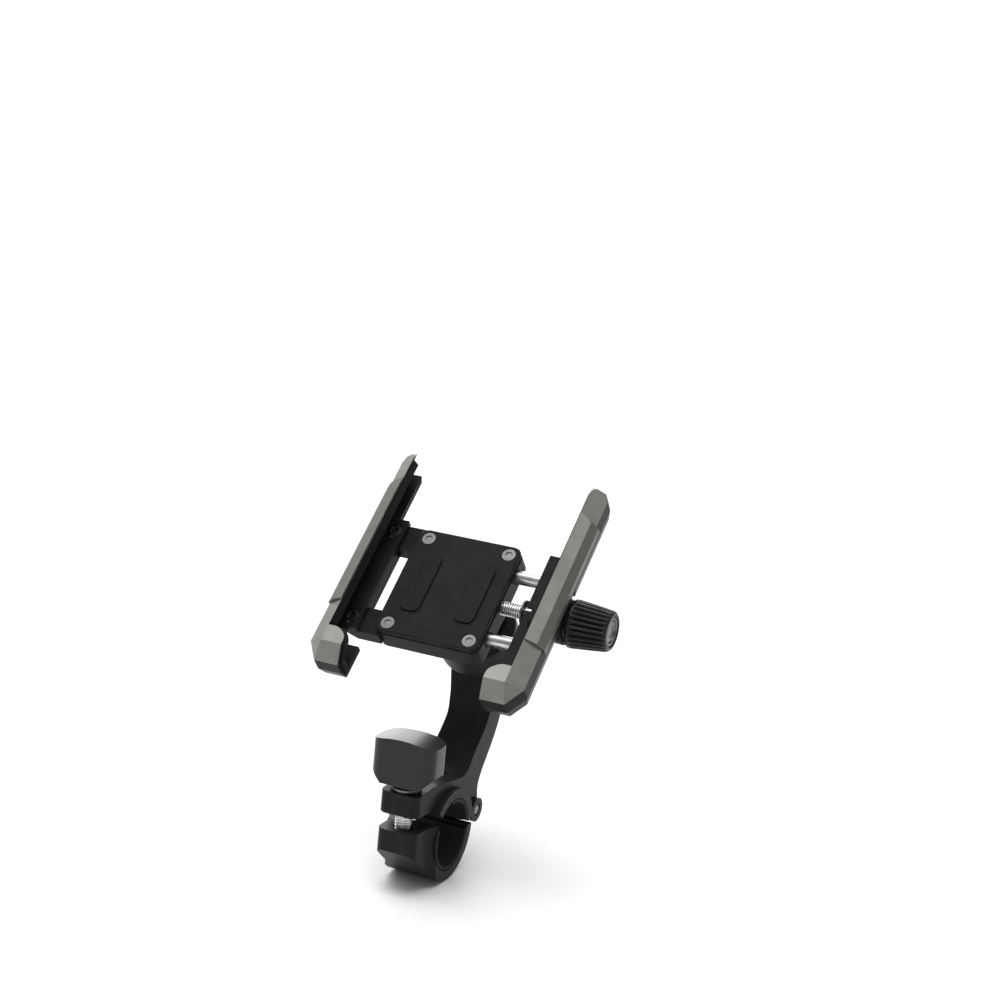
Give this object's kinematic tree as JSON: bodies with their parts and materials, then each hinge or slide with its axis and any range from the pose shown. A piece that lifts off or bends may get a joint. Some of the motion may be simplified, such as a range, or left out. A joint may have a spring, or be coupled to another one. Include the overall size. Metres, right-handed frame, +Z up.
{
  "type": "phone handlebar mount",
  "caption": "Clamp-on handlebar phone holder: hinged bar clamp with thumb knob, bent arm, ball joint and a cradle whose padded side jaws close by a ribbed screw knob.",
  "frame": {"origin": "middle of the handlebar clamp, on the handlebar's axis", "axes": "+X along the handlebar towards the ribbed knob, +Y away from the rider, +Z up along the clamp bolt"},
  "size_m": [0.0927, 0.0687, 0.134],
  "materials": {
    "black_anodised": "satin black anodised",
    "grey_satin_metal": "satin warm grey",
    "dark_grey_panel": "satin dark grey",
    "black_rubber": "matte",
    "black_plastic": "moulded, ribbed",
    "bright_steel": "zinc plated",
    "brass": "plain"
  },
  "bodies": {
    "arm": {"arm_and_upper_clamp": "black_anodised", "clamp_liner_upper": "black_rubber", "clamp_hinge_pin": "bright_steel", "ball_lock_nut": "black_anodised"},
    "lower_jaw": {"clamp_lower_jaw": "black_anodised", "clamp_liner_lower": "black_rubber"},
    "thumb_knob": {"thumb_knob": "black_anodised", "clamp_bolt": "bright_steel", "thumb_washer": "bright_steel"},
    "ball": {"ball": "bright_steel"},
    "cradle": {"ball_plate": "black_anodised", "ball_plate_screw_1": "bright_steel", "ball_plate_screw_2": "bright_steel", "ball_plate_screw_3": "bright_steel", "ball_plate_screw_4": "bright_steel", "base_housing": "black_anodised", "base_cover": "black_anodised", "cover_screw_1": "bright_steel", "cover_screw_2": "bright_steel", "cover_screw_3": "bright_steel", "cover_screw_4": "bright_steel", "phone_pad_left": "black_rubber", "phone_pad_right": "black_rubber", "lead_nut": "brass", "left_rail": "grey_satin_metal", "left_rail_panel": "dark_grey_panel", "left_side_pad": "black_rubber", "left_corner_pad": "black_rubber", "left_rail_screw_1": "bright_steel", "left_rail_screw_2": "bright_steel"},
    "right_jaw": {"jaw_carriage": "black_anodised", "guide_rod_lower": "bright_steel", "guide_rod_upper": "bright_steel", "right_rail": "grey_satin_metal", "right_rail_panel": "dark_grey_panel", "right_side_pad": "black_rubber", "right_corner_pad": "black_rubber", "right_rail_screw_1": "bright_steel", "right_rail_screw_2": "bright_steel"},
    "phone_knob": {"lead_screw": "bright_steel", "lead_screw_clip": "bright_steel", "knob_washer": "bright_steel", "knob_body": "black_plastic", "knob_end_disc": "bright_steel"}
  },
  "joints": [
    {"name": "thumb_knob_turn", "type": "hinge", "parent": "arm", "child": "thumb_knob", "pos_m": [0, -0.019, 0], "axis": [0, 0, 1], "range_deg": [0, 720]},
    {"name": "clamp_swing", "type": "hinge", "parent": "arm", "child": "lower_jaw", "pos_m": [0, 0.0196, 0.0026], "axis": [1, 0, 0], "range_deg": [0, 2.6]},
    {"name": "ball_tilt", "type": "hinge", "parent": "arm", "child": "ball", "pos_m": [0, 0.02665, 0.06309], "axis": [1, 0, 0], "range_deg": [-15, 4]},
    {"name": "cradle_turn", "type": "hinge", "parent": "ball", "child": "cradle", "pos_m": [0, 0.02665, 0.06309], "axis": [0, -0.6638, 0.7479], "range_deg": [0, 90]},
    {"name": "phone_knob_turn", "type": "hinge", "parent": "right_jaw", "child": "phone_knob", "pos_m": [0, 0.0141, 0.07723], "axis": [1, 0, 0], "range_deg": [-1800, 3600]},
    {"name": "jaw_slide", "type": "slide", "parent": "cradle", "child": "right_jaw", "axis": [1, 0, 0], "range_m": [-0.004, 0.008]}
  ],
  "couplings": [
    {"joint": "clamp_swing", "follows": "thumb_knob_turn", "ratio": 0.0036},
    {"joint": "phone_knob_turn", "follows": "jaw_slide", "rad_per_m": 7854}
  ]
}
